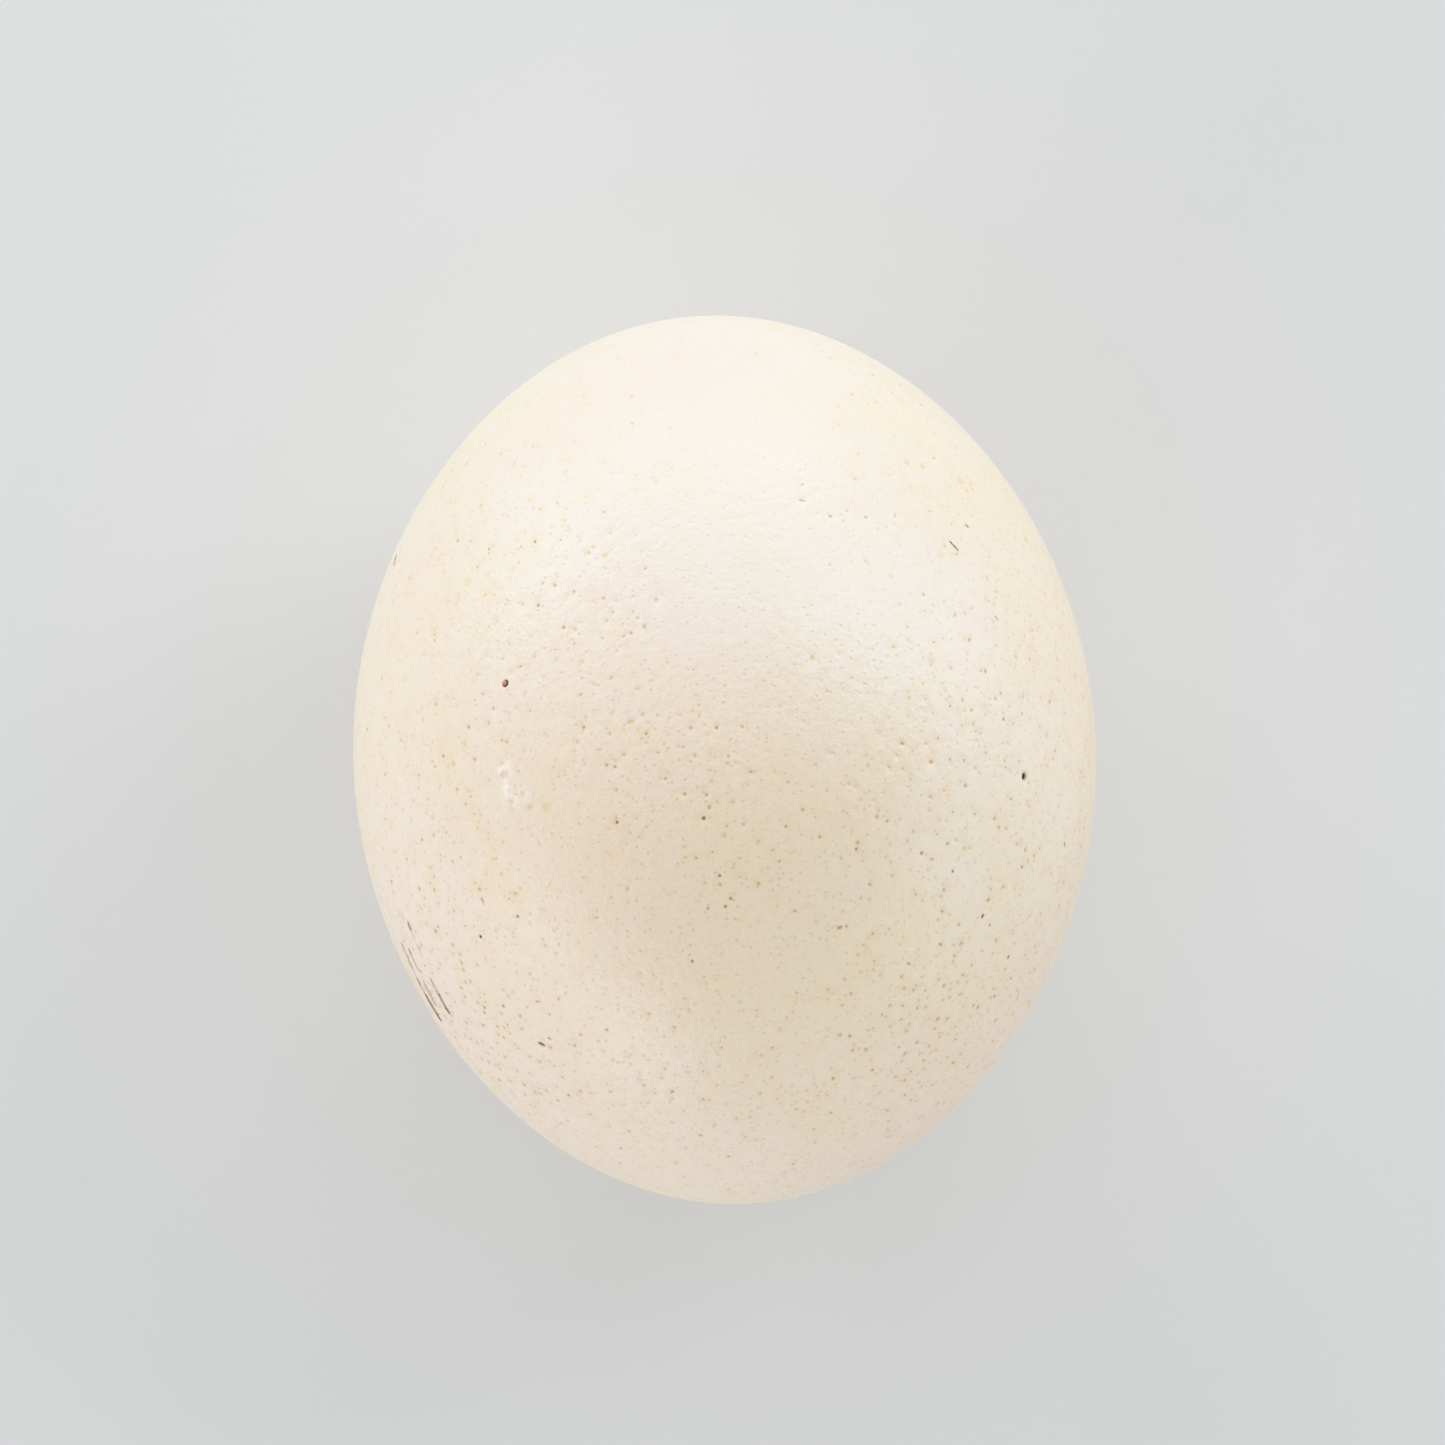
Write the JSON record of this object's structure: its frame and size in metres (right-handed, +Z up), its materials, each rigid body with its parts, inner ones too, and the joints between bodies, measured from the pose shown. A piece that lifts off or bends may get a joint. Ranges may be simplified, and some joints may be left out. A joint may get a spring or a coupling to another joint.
{
  "type": "ostrich egg",
  "caption": "Whole ostrich egg lying on its side, with a cream, softly glossy shell covered in small pits; rests on a small flat spot.",
  "frame": {"origin": "middle of the small flat spot that the egg rests on, under the middle of the egg", "axes": "+Z up, +Y along the egg's long axis towards its slightly blunter end (the upper end in the picture), +X to the right as the picture shows the egg"},
  "size_m": [0.1251, 0.15, 0.1245],
  "materials": {
    "eggshell": "cream to ivory eggshell with a soft porcelain-like gloss, slightly pebbled, with thousands of pores as small tan pits"
  },
  "bodies": {
    "root": {"ostrich_egg": "eggshell"}
  },
  "joints": []
}
